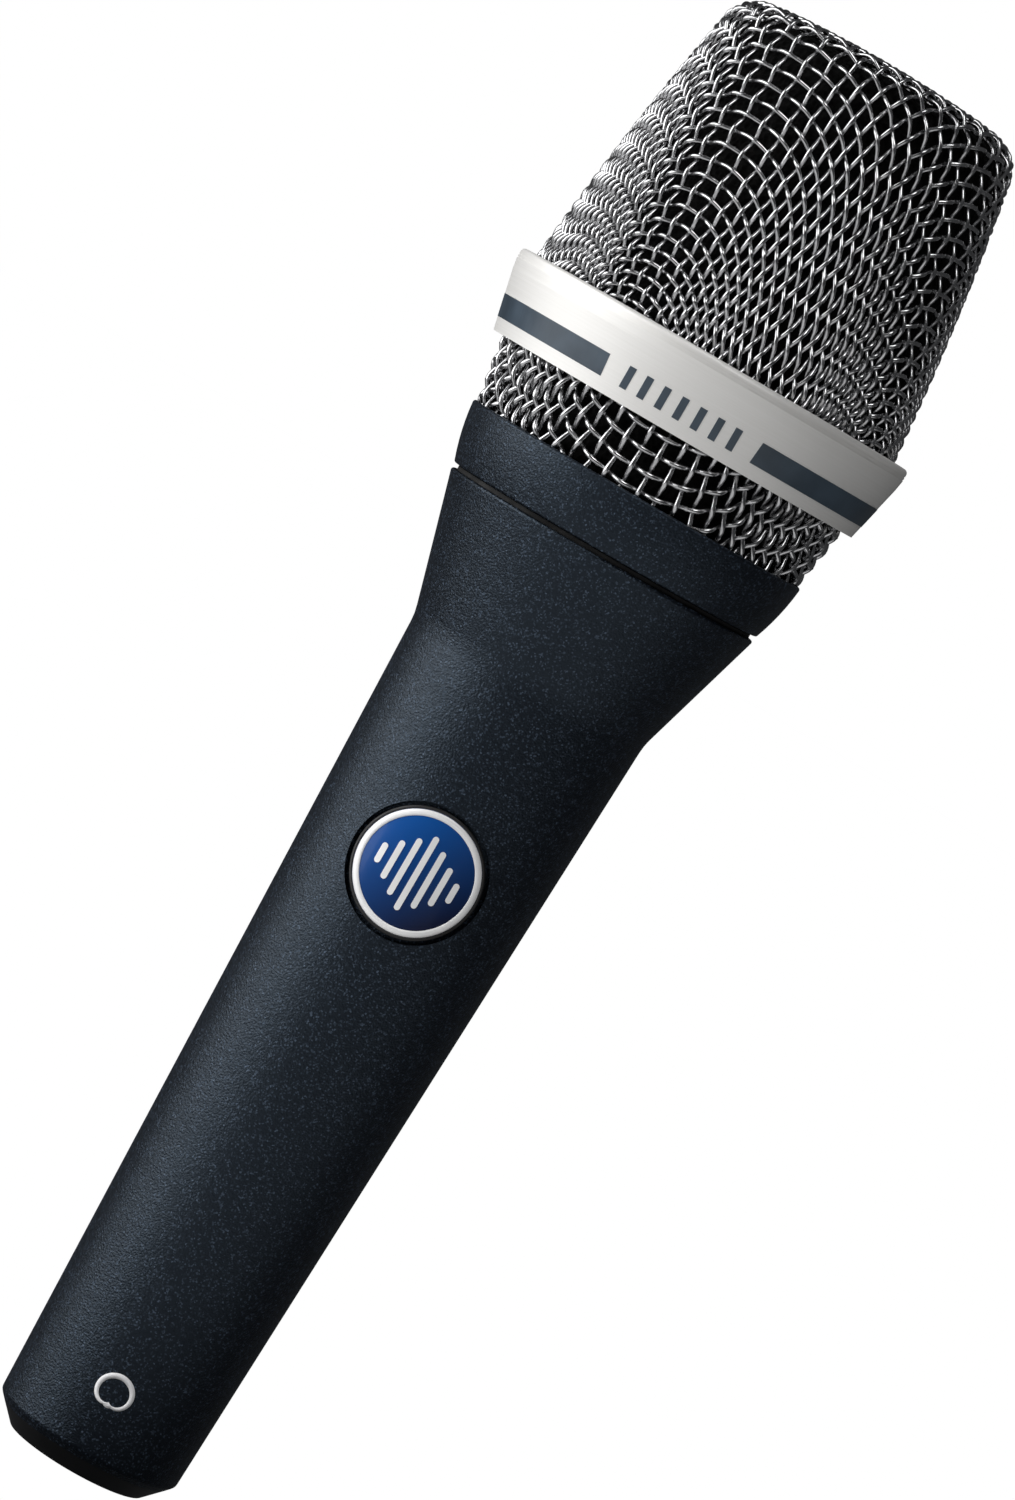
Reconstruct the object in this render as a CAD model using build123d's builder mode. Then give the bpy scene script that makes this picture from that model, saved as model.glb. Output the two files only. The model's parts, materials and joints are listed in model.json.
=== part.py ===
from build123d import *
import math
import os

# Handheld dynamic microphone, in millimetres, standing on its socket end.
# Origin: centre of the end face. +Z runs along the axis to the grille, -Y is the badge side.

os.makedirs("parts", exist_ok=True)

# --- Driving dimensions -------------------------------------------------------------------------

TOTAL_LENGTH = 185.5
EDGE_ROUND = 0.3

# Handle casing: a slow taper, a crease, then a steeper flare up to the shoulder
END_FACE_RADIUS = 8.76
END_PIECE_RADIUS = 10.83
END_PIECE_HEIGHT = 2.2
HANDLE_START_RADIUS = 11.6
HANDLE_START_HEIGHT = 3.05
HANDLE_START_ROUND = 0.8
CREASE_RADIUS = 15.19
CREASE_HEIGHT = 104.3
CREASE_BLEND = 8.0
SHOULDER_RADIUS = 20.0
SHOULDER_HEIGHT = 121.0
CASING_WALL = 1.9
SHELF_BOTTOM = 112.6
SHELF_TOP = 114.6
SHELF_HOLE_RADIUS = 11.5

# Neck that carries the grille thread
NECK_BORE_RADIUS = 16.2
NECK_RADIUS = 17.6
NECK_TOP = 128.0
THREAD_RADIUS = 18.15
THREAD_BOTTOM = 122.0
THREAD_TOP = 127.4
GASKET_INNER_RADIUS = 18.4
GASKET_RADIUS = 19.3
GASKET_THICKNESS = 0.5

# Badge
BADGE_HEIGHT = 79.6
BADGE_RADIUS = 7.68
BADGE_POCKET_RADIUS = 8.25
BADGE_POCKET_DEPTH = 1.0
BADGE_SINK = 0.2

# Output socket
SOCKET_RADIUS = 7.95
SHELL_RADIUS = 9.3
SHELL_TOP = 20.0
SHELL_CLEARANCE = 0.15
KEY_RIB_WIDTH = 2.2
KEY_RIB_DEPTH = 1.2
KEY_RIB_BOTTOM = 3.0
LATCH_NOTCH_WIDTH = 3.4
LATCH_NOTCH_DEPTH = 0.6
LATCH_NOTCH_BOTTOM = 4.0
LATCH_NOTCH_HEIGHT = 4.0
INSERT_BOTTOM = 15.0
INSERT_TOP = 19.5
PIN_RADIUS = 1.2
PIN_SHANK_RADIUS = 1.0
PIN_CUP_RADIUS = 1.3
PIN_TIP_ROUND = 0.8
PIN_CIRCLE_RADIUS = 4.4
PIN_TIP_HEIGHT = 1.8
PIN_CUP_HEIGHT = 23.0
PIN_ANGLES = (90, 210, 330)
LEAF_THICKNESS = 0.4
LEAF_WIDTH = 3.0
LEAF_FOOT = 6.6
LEAF_REACH = 10.1
LEAF_RISE = 3.1
SET_SCREW_HEIGHT = 12.0
SET_SCREW_RADIUS = 1.2
SET_SCREW_LENGTH = 2.2
SET_SCREW_KEY_RADIUS = 0.65
SET_SCREW_KEY_DEPTH = 1.1

# Filter board and what is soldered to it
BOARD_WIDTH = 17.0
BOARD_THICKNESS = 1.6
BOARD_BOTTOM = 33.0
BOARD_TOP = 80.0
CHOKE_HEIGHT = 61.0
CHOKE_RADIUS = 4.5
CHOKE_WAIST_RADIUS = 3.2
CHOKE_LENGTH = 5.5
CHOKE_FLANGE = 1.2
CAPACITOR_HEIGHTS = (46.0, 54.0, 62.0)
CAPACITOR_WIDTH = 7.2
CAPACITOR_THICKNESS = 3.4
CAPACITOR_LENGTH = 6.0
RESISTOR_HEIGHTS = (42.0, 47.0)
RESISTOR_RADIUS = 1.2
RESISTOR_LENGTH = 6.0
DAMPER_BOTTOM = 71.0
DAMPER_THICKNESS = 5.0
DAMPER_SLOT = 7.0
LEAD_RADIUS = 0.6
LEAD_SPACING = 3.0

# Grille head
COLLAR_BOTTOM = 121.6
COLLAR_BOTTOM_RADIUS = 20.0
COLLAR_MIDDLE = (21.04, 125.1)
COLLAR_TOP = 128.95
COLLAR_TOP_RADIUS = 21.64
COLLAR_TOP_ROUND = 0.35
COLLAR_BORE_RADIUS = 18.35
COLLAR_SEAT_HEIGHT = 126.8
BAND_BOTTOM = 136.9
BAND_BOTTOM_RADIUS = 23.68
BAND_BOTTOM_BORE_RADIUS = 22.65
BAND_BROW = (25.3, 144.1)
BAND_RADIUS = 25.5
BAND_RIM_BOTTOM = 145.35
BAND_TOP = 146.7
BAND_TOP_ROUND = 0.5
BAND_LINE_HEIGHTS = (145.45, 145.8)
BAND_LINE_DEPTH = 0.08
BAND_LINE_WIDTH = 0.12
BAND_RIB_BOTTOM = 141.1
BAND_RIB_TOP = 142.7
BAND_RIB_RADIUS = 21.6
BAND_BORE_RADIUS = 22.95
BAND_SEAT_RADIUS = 23.76
MESH_THICKNESS = 1.2
SEAT_CLEARANCE = 0.05

# Upper basket: slightly domed crown, tight corner, slowly widening side
BASKET_SKIRT_RADIUS = 23.66
BASKET_SKIRT_TOP = 147.2
BASKET_SIDE_RADIUS = 21.76
BASKET_SIDE_HEIGHT = 163.8
CROWN_CORNER_CENTRE = 14.5
CROWN_CORNER_HEIGHT = 180.2
CROWN_CORNER_RADIUS = 4.57
CROWN_CORNER_END = 11.0

# Lower basket, outer surface
LOWER_BOTTOM_RADIUS = 20.73
LOWER_MIDDLE_RADIUS = 21.94
LOWER_MIDDLE_HEIGHT = 133.5
LOWER_TOP_RADIUS = 22.87
LOWER_TOP_HEIGHT = 141.0

# Foam lining and the hollow in it for the capsule
FOAM_GAP = 0.35
FOAM_BOTTOM = 128.4
FOAM_BOTTOM_RADIUS = 19.45
FOAM_HOLLOW_RADIUS = 15.5
FOAM_HOLLOW_STRAIGHT_TOP = 165.8
FOAM_HOLLOW_SHOULDER = (12.8, 176.3)
FOAM_HOLLOW_TOP = 178.8

# Cradle and shock mounts
CRADLE_RADIUS = 16.1
CRADLE_INNER_RADIUS = 15.3
CRADLE_HOLE_RADIUS = 6.0
CRADLE_FLOOR_TOP = 116.1
CRADLE_TOP = 127.2
CRADLE_SCREW_CIRCLE = 13.0
CRADLE_SCREW_RADIUS = 1.0
CRADLE_SCREW_CLEARANCE = 0.1
SCREW_HEAD_RADIUS = 1.9
SCREW_HEAD_HEIGHT = 1.4
SCREW_CROSS_LENGTH = 2.2
SCREW_CROSS_WIDTH = 0.5
SCREW_CROSS_DEPTH = 0.8
REAR_MOUNT_BORE_RADIUS = 7.0
REAR_MOUNT_RADIUS = 10.5
REAR_MOUNT_WAIST_RADIUS = 9.6
FRONT_MOUNT_BOTTOM = 122.8
FRONT_MOUNT_TOP = 126.0
FRONT_MOUNT_CLEARANCE = 0.15

# Capsule
CAPSULE_RADIUS = 13.0
CAPSULE_INNER_RADIUS = 12.2
CAPSULE_BOTTOM = 120.8
CAPSULE_TOP = 148.8
CAPSULE_LEDGE = 1.2
PORT_HEIGHT = 132.8
PORT_RADIUS = 0.5
PORT_COUNT = 8
HUM_COIL_RADIUS = 14.1
HUM_COIL_BOTTOM = 127.7
HUM_COIL_TOP = 131.7
PORT_FELT_INNER_RADIUS = 11.2
PORT_FELT_BOTTOM = 130.4
TERMINAL_WIDTH = 2.4
TERMINAL_DEPTH = 3.2
TERMINAL_THICKNESS = 0.4
YOKE_RADIUS = 11.9
YOKE_GAP_RADIUS = 9.95
YOKE_FLOOR = 2.0
YOKE_BOTTOM = 135.0
YOKE_TOP = 147.8
MAGNET_RADIUS = 8.4
POLE_RADIUS = 8.7
POLE_BOTTOM = 144.2
POLE_TOP = 147.2
POLE_CHAMFER = 0.4
COIL_INNER_RADIUS = 9.05
COIL_RADIUS = 9.55
COIL_BOTTOM = 143.9
DIAPHRAGM_HEIGHT = 149.2
DIAPHRAGM_THICKNESS = 0.15
DIAPHRAGM_RADIUS = 11.9
DOME_RISE = 2.2
ROLL_RISE = 0.6
CLAMP_RING_HEIGHT = 1.5
CAP_RADIUS = 13.9
CAP_INNER_RADIUS = 12.8
CAP_TOP = 158.8
CAP_THICKNESS = 1.2
CAP_BEVEL = 1.5
CAP_HOLE_RADIUS = 1.4
CAP_HOLE_CIRCLES = ((5.0, 6), (9.6, 12))
FRONT_FELT_RADIUS = 12.7
FRONT_FELT_THICKNESS = 1.15

HANDLE_SLOPE = (CREASE_RADIUS - HANDLE_START_RADIUS) / (CREASE_HEIGHT - HANDLE_START_HEIGHT)
FLARE_SLOPE = (SHOULDER_RADIUS - CREASE_RADIUS) / (SHOULDER_HEIGHT - CREASE_HEIGHT)


def handle_radius(height):
    """Outer radius of the tapered handle at a height below the crease."""
    return HANDLE_START_RADIUS + HANDLE_SLOPE * (height - HANDLE_START_HEIGHT)


def section(*points):
    """A closed half section beside the axis. Each point is (radius, height)."""
    with BuildSketch(Plane.XZ) as half:
        with BuildLine():
            Polyline(*points, close=True)
        make_face()
    return half.sketch


def tube(outer, inner, bottom, top):
    """The half section of a plain ring."""
    return section((inner, bottom), (outer, bottom), (outer, top), (inner, top))


def handle_skin(depth_outside, depth_inside):
    """A layer that follows the taper of the handle between two depths below its surface."""
    low = BADGE_HEIGHT - 1.5 * BADGE_RADIUS
    high = BADGE_HEIGHT + 1.5 * BADGE_RADIUS
    return section(
        (handle_radius(low) - depth_inside, low),
        (handle_radius(low) - depth_outside, low),
        (handle_radius(high) - depth_outside, high),
        (handle_radius(high) - depth_inside, high),
    )


# --- Handle ---------------------------------------------------------------------------------------

# The badge pocket has a floor that follows the round of the handle.
with BuildPart() as badge_pocket:
    with BuildSketch(Plane.XZ):
        with Locations((0, BADGE_HEIGHT)):
            Circle(BADGE_POCKET_RADIUS)
    extrude(amount=CREASE_RADIUS + 2)
    revolve(handle_skin(-2, BADGE_POCKET_DEPTH), axis=Axis.Z, mode=Mode.INTERSECT)

with BuildPart() as handle_casing:
    shelf_wall_radius = SHOULDER_RADIUS + FLARE_SLOPE * (SHELF_BOTTOM - SHOULDER_HEIGHT) - CASING_WALL
    revolve(
        section(
            (SHELL_RADIUS + SHELL_CLEARANCE, END_PIECE_HEIGHT),
            (END_PIECE_RADIUS, END_PIECE_HEIGHT),
            (HANDLE_START_RADIUS, HANDLE_START_HEIGHT),
            (CREASE_RADIUS, CREASE_HEIGHT),
            (SHOULDER_RADIUS, SHOULDER_HEIGHT),
            (NECK_RADIUS, SHOULDER_HEIGHT),
            (NECK_RADIUS, NECK_TOP),
            (NECK_BORE_RADIUS, NECK_TOP),
            (NECK_BORE_RADIUS, SHELF_TOP),
            (SHELF_HOLE_RADIUS, SHELF_TOP),
            (SHELF_HOLE_RADIUS, SHELF_BOTTOM),
            (shelf_wall_radius, SHELF_BOTTOM),
            (CREASE_RADIUS - CASING_WALL, CREASE_HEIGHT),
            (handle_radius(SHELL_TOP) - CASING_WALL, SHELL_TOP + 1),
            (SHELL_RADIUS + SHELL_CLEARANCE, SHELL_TOP + 1),
        ),
        axis=Axis.Z,
    )
    rims = handle_casing.edges().filter_by(GeomType.CIRCLE)
    fillet(rims.filter_by(lambda e: abs(e.radius - CREASE_RADIUS) < 0.01), radius=CREASE_BLEND)
    rims = handle_casing.edges().filter_by(GeomType.CIRCLE)
    fillet(rims.filter_by(lambda e: abs(e.radius - SHOULDER_RADIUS) < 0.01), radius=EDGE_ROUND)
    rims = handle_casing.edges().filter_by(GeomType.CIRCLE)
    fillet(rims.filter_by(lambda e: abs(e.radius - HANDLE_START_RADIUS) < 0.01), radius=HANDLE_START_ROUND)
    add(badge_pocket.part, mode=Mode.SUBTRACT)
    # Three tapped holes in the shelf for the cradle
    with BuildSketch(Plane.XY.offset(SHELF_BOTTOM)):
        with PolarLocations(CRADLE_SCREW_CIRCLE, 3):
            Circle(CRADLE_SCREW_RADIUS)
    extrude(amount=SHELF_TOP - SHELF_BOTTOM, mode=Mode.SUBTRACT)
    # Hole at the back for the screw that holds the socket
    with BuildSketch(Plane.XZ):
        with Locations((0, SET_SCREW_HEIGHT)):
            Circle(SET_SCREW_RADIUS)
    extrude(amount=-HANDLE_START_RADIUS - 2, mode=Mode.SUBTRACT)
handle_casing.part.label = "handle_casing"
export_step(handle_casing.part, "parts/handle_casing.step")

with BuildPart() as badge_plate:
    with BuildSketch(Plane.XZ):
        with Locations((0, BADGE_HEIGHT)):
            Circle(BADGE_RADIUS)
    extrude(amount=CREASE_RADIUS + 2)
    revolve(handle_skin(BADGE_SINK, BADGE_POCKET_DEPTH), axis=Axis.Z, mode=Mode.INTERSECT)
badge_plate.part.label = "badge_plate"
export_step(badge_plate.part, "parts/badge_plate.step")

with BuildPart() as neck_thread_ring:
    revolve(tube(THREAD_RADIUS, NECK_RADIUS, THREAD_BOTTOM, THREAD_TOP), axis=Axis.Z)
    chamfer(neck_thread_ring.faces().filter_by(Axis.Z).edges().group_by(SortBy.RADIUS)[-1], EDGE_ROUND)
neck_thread_ring.part.label = "neck_thread_ring"
export_step(neck_thread_ring.part, "parts/neck_thread_ring.step")

with BuildPart() as neck_gasket:
    gasket_top = SHOULDER_HEIGHT + GASKET_THICKNESS
    revolve(tube(GASKET_RADIUS, GASKET_INNER_RADIUS, SHOULDER_HEIGHT, gasket_top), axis=Axis.Z)
neck_gasket.part.label = "neck_gasket"
export_step(neck_gasket.part, "parts/neck_gasket.step")

# --- Output socket --------------------------------------------------------------------------------

with BuildPart() as xlr_shell:
    revolve(
        section(
            (SOCKET_RADIUS, 0),
            (END_FACE_RADIUS, 0),
            (END_PIECE_RADIUS, END_PIECE_HEIGHT),
            (SHELL_RADIUS, END_PIECE_HEIGHT),
            (SHELL_RADIUS, SHELL_TOP),
            (SOCKET_RADIUS, SHELL_TOP),
        ),
        axis=Axis.Z,
    )
    # Key rib that lets the cable plug in only one way
    with BuildSketch(Plane.XY.offset(KEY_RIB_BOTTOM)):
        with Locations((0, SOCKET_RADIUS + SHELL_CLEARANCE)):
            Rectangle(KEY_RIB_WIDTH, KEY_RIB_DEPTH, align=(Align.CENTER, Align.MAX))
    extrude(amount=INSERT_BOTTOM - SEAT_CLEARANCE - KEY_RIB_BOTTOM)
    # Notch for the plug's latch
    with BuildSketch(Plane.XY.offset(LATCH_NOTCH_BOTTOM)):
        with Locations((0, -SOCKET_RADIUS)):
            Rectangle(LATCH_NOTCH_WIDTH, 2 * LATCH_NOTCH_DEPTH)
    extrude(amount=LATCH_NOTCH_HEIGHT, mode=Mode.SUBTRACT)
xlr_shell.part.label = "xlr_shell"
export_step(xlr_shell.part, "parts/xlr_shell.step")

with BuildPart() as xlr_insert:
    with BuildSketch(Plane.XY.offset(INSERT_BOTTOM)):
        Circle(SOCKET_RADIUS - SEAT_CLEARANCE)
        with PolarLocations(PIN_CIRCLE_RADIUS, len(PIN_ANGLES), start_angle=PIN_ANGLES[0]):
            Circle(PIN_SHANK_RADIUS, mode=Mode.SUBTRACT)
    extrude(amount=INSERT_TOP - INSERT_BOTTOM)
xlr_insert.part.label = "xlr_insert"
export_step(xlr_insert.part, "parts/xlr_insert.step")

# Each pin is a contact, a thinner shank held in the insert, and a solder cup behind it.
PIN_STAGES = (
    (PIN_TIP_HEIGHT, INSERT_BOTTOM, PIN_RADIUS),
    (INSERT_BOTTOM, INSERT_TOP, PIN_SHANK_RADIUS),
    (INSERT_TOP, PIN_CUP_HEIGHT, PIN_CUP_RADIUS),
)
for number, angle in enumerate(PIN_ANGLES, start=1):
    with BuildPart() as xlr_pin:
        for stage_bottom, stage_top, stage_radius in PIN_STAGES:
            with BuildSketch(Plane.XY.offset(stage_bottom)):
                with PolarLocations(PIN_CIRCLE_RADIUS, 1, start_angle=angle):
                    Circle(stage_radius)
            extrude(amount=stage_top - stage_bottom)
        fillet(xlr_pin.edges().sort_by(Axis.Z)[0], radius=PIN_TIP_ROUND)
    xlr_pin.part.label = f"xlr_pin_{number}"
    export_step(xlr_pin.part, f"parts/xlr_pin_{number}.step")

# Leaf that grounds the casing: it stands on the insert and reaches out to the wall.
with BuildPart() as ground_contact:
    with BuildSketch(Plane.YZ):
        with BuildLine():
            Polyline(
                (LEAF_FOOT, INSERT_TOP),
                (LEAF_FOOT + LEAF_THICKNESS, INSERT_TOP),
                (LEAF_FOOT + LEAF_THICKNESS, INSERT_TOP + LEAF_RISE - LEAF_THICKNESS),
                (LEAF_REACH, INSERT_TOP + LEAF_RISE - LEAF_THICKNESS),
                (LEAF_REACH, INSERT_TOP + LEAF_RISE),
                (LEAF_FOOT, INSERT_TOP + LEAF_RISE),
                close=True,
            )
        make_face()
    extrude(amount=LEAF_WIDTH / 2, both=True)
ground_contact.part.label = "ground_contact"
export_step(ground_contact.part, "parts/ground_contact.step")

with BuildPart() as set_screw:
    with BuildSketch(Plane.XZ.offset(-SHELL_RADIUS - SEAT_CLEARANCE)):
        with Locations((0, SET_SCREW_HEIGHT)):
            Circle(SET_SCREW_RADIUS)
    extrude(amount=-SET_SCREW_LENGTH)
    with BuildSketch(Plane.XZ.offset(-SHELL_RADIUS - SEAT_CLEARANCE - SET_SCREW_LENGTH)):
        with Locations((0, SET_SCREW_HEIGHT)):
            RegularPolygon(SET_SCREW_KEY_RADIUS, 6)
    extrude(amount=SET_SCREW_KEY_DEPTH, mode=Mode.SUBTRACT)
set_screw.part.label = "set_screw"
export_step(set_screw.part, "parts/set_screw.step")

# --- Filter board and leads -----------------------------------------------------------------------

with BuildPart() as filter_board:
    with BuildSketch(Plane.XZ):
        with Locations((0, (BOARD_BOTTOM + BOARD_TOP) / 2)):
            RectangleRounded(BOARD_WIDTH, BOARD_TOP - BOARD_BOTTOM, 1.0)
    extrude(amount=BOARD_THICKNESS / 2, both=True)
filter_board.part.label = "filter_board"
export_step(filter_board.part, "parts/filter_board.step")

with BuildPart() as filter_choke:
    with BuildSketch(Plane.XZ.offset(-BOARD_THICKNESS / 2)):
        with Locations((0, CHOKE_HEIGHT)):
            Circle(CHOKE_RADIUS)
    extrude(amount=-CHOKE_LENGTH)
    with BuildSketch(Plane.XZ.offset(-BOARD_THICKNESS / 2 - CHOKE_FLANGE)):
        with Locations((0, CHOKE_HEIGHT)):
            Circle(CHOKE_RADIUS + 1)
            Circle(CHOKE_WAIST_RADIUS, mode=Mode.SUBTRACT)
    extrude(amount=-(CHOKE_LENGTH - 2 * CHOKE_FLANGE), mode=Mode.SUBTRACT)
filter_choke.part.label = "filter_choke"
export_step(filter_choke.part, "parts/filter_choke.step")

with BuildPart() as filter_capacitors:
    with BuildSketch(Plane.XZ.offset(BOARD_THICKNESS / 2)):
        with Locations(*[(0, height) for height in CAPACITOR_HEIGHTS]):
            RectangleRounded(CAPACITOR_WIDTH, CAPACITOR_THICKNESS, 0.5)
    extrude(amount=CAPACITOR_LENGTH)
filter_capacitors.part.label = "filter_capacitors"
export_step(filter_capacitors.part, "parts/filter_capacitors.step")

with BuildPart() as filter_resistors:
    with BuildSketch(Plane.YZ):
        with Locations(*[(BOARD_THICKNESS / 2 + RESISTOR_RADIUS, height) for height in RESISTOR_HEIGHTS]):
            Circle(RESISTOR_RADIUS)
    extrude(amount=RESISTOR_LENGTH / 2, both=True)
filter_resistors.part.label = "filter_resistors"
export_step(filter_resistors.part, "parts/filter_resistors.step")

# Foam ring that stops the board rattling in the handle
with BuildPart() as board_damper:
    with BuildSketch(Plane.XY.offset(DAMPER_BOTTOM)):
        Circle(handle_radius(DAMPER_BOTTOM) - CASING_WALL - 2 * SEAT_CLEARANCE)
        Rectangle(BOARD_WIDTH + 2 * SEAT_CLEARANCE, DAMPER_SLOT, mode=Mode.SUBTRACT)
    extrude(amount=DAMPER_THICKNESS)
board_damper.part.label = "board_damper"
export_step(board_damper.part, "parts/board_damper.step")


def run_lead(name, points, bend_radius):
    """One insulated lead, swept along straight runs joined by tangent arcs."""
    with BuildPart() as lead:
        with BuildLine() as route:
            FilletPolyline(*points, radius=bend_radius)
        with BuildSketch(Plane(origin=route.line @ 0, z_dir=route.line % 0)):
            Circle(LEAD_RADIUS)
        sweep()
    lead.part.label = name
    export_step(lead.part, f"parts/{name}.step")


face_offset = BOARD_THICKNESS / 2 + LEAD_RADIUS
for number, angle in enumerate(PIN_ANGLES, start=1):
    cup_x = PIN_CIRCLE_RADIUS * math.cos(math.radians(angle))
    cup_y = PIN_CIRCLE_RADIUS * math.sin(math.radians(angle))
    board_y = math.copysign(face_offset, cup_y)
    run_lead(
        f"pin_lead_{number}",
        [(cup_x, cup_y, PIN_CUP_HEIGHT), (cup_x, cup_y, 26), (cup_x, board_y, 32), (cup_x, board_y, 38)],
        3,
    )

for name, side in (("lead_hot", 1), ("lead_cold", -1)):
    run_lead(
        name,
        [
            (side * 5, face_offset, 74),
            (side * 5, face_offset, 84),
            (side * LEAD_SPACING, 3, 97),
            (side * LEAD_SPACING, 0, 110),
            (side * LEAD_SPACING, 0, CAPSULE_BOTTOM - 1),
        ],
        10,
    )

# --- Capsule cradle and shock mounts --------------------------------------------------------------

with BuildPart() as capsule_cradle:
    revolve(
        section(
            (CRADLE_HOLE_RADIUS, SHELF_TOP),
            (CRADLE_RADIUS, SHELF_TOP),
            (CRADLE_RADIUS, CRADLE_TOP),
            (CRADLE_INNER_RADIUS, CRADLE_TOP),
            (CRADLE_INNER_RADIUS, CRADLE_FLOOR_TOP),
            (CRADLE_HOLE_RADIUS, CRADLE_FLOOR_TOP),
        ),
        axis=Axis.Z,
    )
    with BuildSketch(Plane.XY.offset(SHELF_TOP)):
        with PolarLocations(CRADLE_SCREW_CIRCLE, 3):
            Circle(CRADLE_SCREW_RADIUS + CRADLE_SCREW_CLEARANCE)
    extrude(amount=CRADLE_FLOOR_TOP - SHELF_TOP, mode=Mode.SUBTRACT)
capsule_cradle.part.label = "capsule_cradle"
export_step(capsule_cradle.part, "parts/capsule_cradle.step")

with BuildPart() as cradle_screws:
    with BuildSketch(Plane.XY.offset(SHELF_BOTTOM)):
        with PolarLocations(CRADLE_SCREW_CIRCLE, 3):
            Circle(CRADLE_SCREW_RADIUS)
    extrude(amount=CRADLE_FLOOR_TOP - SHELF_BOTTOM)
    with BuildSketch(Plane.XY.offset(CRADLE_FLOOR_TOP)):
        with PolarLocations(CRADLE_SCREW_CIRCLE, 3):
            Circle(SCREW_HEAD_RADIUS)
    extrude(amount=SCREW_HEAD_HEIGHT)
    with BuildSketch(Plane.XY.offset(CRADLE_FLOOR_TOP + SCREW_HEAD_HEIGHT)):
        with PolarLocations(CRADLE_SCREW_CIRCLE, 3):
            Rectangle(SCREW_CROSS_LENGTH, SCREW_CROSS_WIDTH)
            Rectangle(SCREW_CROSS_WIDTH, SCREW_CROSS_LENGTH)
    extrude(amount=-SCREW_CROSS_DEPTH, mode=Mode.SUBTRACT)
cradle_screws.part.label = "cradle_screws"
export_step(cradle_screws.part, "parts/cradle_screws.step")

with BuildPart() as shock_mount_rear:
    revolve(
        section(
            (REAR_MOUNT_BORE_RADIUS, CRADLE_FLOOR_TOP),
            (REAR_MOUNT_RADIUS, CRADLE_FLOOR_TOP),
            (REAR_MOUNT_WAIST_RADIUS, (CRADLE_FLOOR_TOP + CAPSULE_BOTTOM) / 2),
            (REAR_MOUNT_RADIUS, CAPSULE_BOTTOM - SEAT_CLEARANCE),
            (REAR_MOUNT_BORE_RADIUS, CAPSULE_BOTTOM - SEAT_CLEARANCE),
        ),
        axis=Axis.Z,
    )
shock_mount_rear.part.label = "shock_mount_rear"
export_step(shock_mount_rear.part, "parts/shock_mount_rear.step")

with BuildPart() as shock_mount_front:
    front_mount_radius = CRADLE_INNER_RADIUS - SEAT_CLEARANCE
    front_mount_bore = CAPSULE_RADIUS + FRONT_MOUNT_CLEARANCE
    revolve(tube(front_mount_radius, front_mount_bore, FRONT_MOUNT_BOTTOM, FRONT_MOUNT_TOP), axis=Axis.Z)
shock_mount_front.part.label = "shock_mount_front"
export_step(shock_mount_front.part, "parts/shock_mount_front.step")

# --- Capsule --------------------------------------------------------------------------------------

with BuildPart() as capsule_housing:
    revolve(
        section(
            (0, CAPSULE_BOTTOM),
            (CAPSULE_RADIUS, CAPSULE_BOTTOM),
            (CAPSULE_RADIUS, CAPSULE_TOP),
            (CAPSULE_INNER_RADIUS, CAPSULE_TOP),
            (CAPSULE_INNER_RADIUS, YOKE_BOTTOM),
            (CAPSULE_INNER_RADIUS - CAPSULE_LEDGE, YOKE_BOTTOM),
            (CAPSULE_INNER_RADIUS - CAPSULE_LEDGE, YOKE_BOTTOM - CAPSULE_LEDGE),
            (CAPSULE_INNER_RADIUS, YOKE_BOTTOM - CAPSULE_LEDGE),
            (CAPSULE_INNER_RADIUS, CAPSULE_BOTTOM + CAPSULE_LEDGE),
            (0, CAPSULE_BOTTOM + CAPSULE_LEDGE),
        ),
        axis=Axis.Z,
    )
    # Rear sound ports round the wall
    for port in range(PORT_COUNT):
        with BuildSketch(Plane.XZ.rotated((0, port * 360 / PORT_COUNT, 0))):
            with Locations((0, PORT_HEIGHT)):
                Circle(PORT_RADIUS)
        extrude(amount=CAPSULE_RADIUS + 1, mode=Mode.SUBTRACT)
capsule_housing.part.label = "capsule_housing"
export_step(capsule_housing.part, "parts/capsule_housing.step")

with BuildPart() as hum_coil:
    coil_bore = CAPSULE_RADIUS + SEAT_CLEARANCE
    revolve(tube(HUM_COIL_RADIUS, coil_bore, HUM_COIL_BOTTOM, HUM_COIL_TOP), axis=Axis.Z)
hum_coil.part.label = "hum_coil"
export_step(hum_coil.part, "parts/hum_coil.step")

with BuildPart() as rear_port_felt:
    felt_radius = CAPSULE_INNER_RADIUS - SEAT_CLEARANCE
    felt_top = YOKE_BOTTOM - CAPSULE_LEDGE - SEAT_CLEARANCE
    revolve(tube(felt_radius, PORT_FELT_INNER_RADIUS, PORT_FELT_BOTTOM, felt_top), axis=Axis.Z)
rear_port_felt.part.label = "rear_port_felt"
export_step(rear_port_felt.part, "parts/rear_port_felt.step")

with BuildPart() as capsule_terminals:
    with BuildSketch(Plane.XY.offset(CAPSULE_BOTTOM)):
        with Locations((LEAD_SPACING, 0), (-LEAD_SPACING, 0)):
            Rectangle(TERMINAL_WIDTH, TERMINAL_DEPTH)
    extrude(amount=-TERMINAL_THICKNESS)
capsule_terminals.part.label = "capsule_terminals"
export_step(capsule_terminals.part, "parts/capsule_terminals.step")

with BuildPart() as magnet_yoke:
    revolve(
        section(
            (0, YOKE_BOTTOM),
            (YOKE_RADIUS, YOKE_BOTTOM),
            (YOKE_RADIUS, YOKE_TOP),
            (YOKE_GAP_RADIUS, YOKE_TOP),
            (YOKE_GAP_RADIUS, YOKE_BOTTOM + YOKE_FLOOR),
            (0, YOKE_BOTTOM + YOKE_FLOOR),
        ),
        axis=Axis.Z,
    )
magnet_yoke.part.label = "magnet_yoke"
export_step(magnet_yoke.part, "parts/magnet_yoke.step")

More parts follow.
